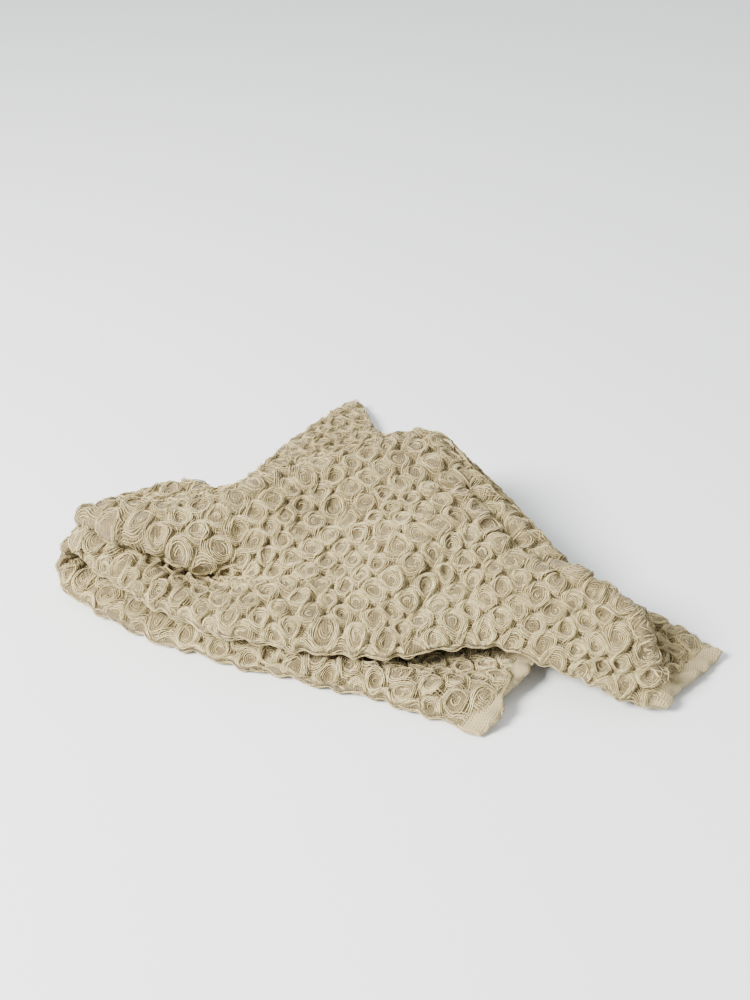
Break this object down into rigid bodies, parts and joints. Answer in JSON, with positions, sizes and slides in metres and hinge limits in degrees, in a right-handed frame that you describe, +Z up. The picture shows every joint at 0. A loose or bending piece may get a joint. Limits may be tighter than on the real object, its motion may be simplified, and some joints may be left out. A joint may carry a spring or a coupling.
{
  "type": "folded waffle kitchen towel",
  "caption": "Beige cotton waffle kitchen towel, folded over in a loop at the left and lying as a soft tent with a flat corner behind and a pointed hemmed end at the right.",
  "frame": {"origin": "middle of the towel's outline in plan, on the surface that it lies on", "axes": "+X to the right along the front selvedge, away from the loop; +Y to the back, where the flat corner lies; +Z up"},
  "size_m": [0.2123, 0.1859, 0.0424],
  "materials": {
    "waffle_cotton": "matte waffle-woven cotton, unbleached beige"
  },
  "bodies": {
    "root": {"towel": "waffle_cotton"}
  },
  "joints": []
}
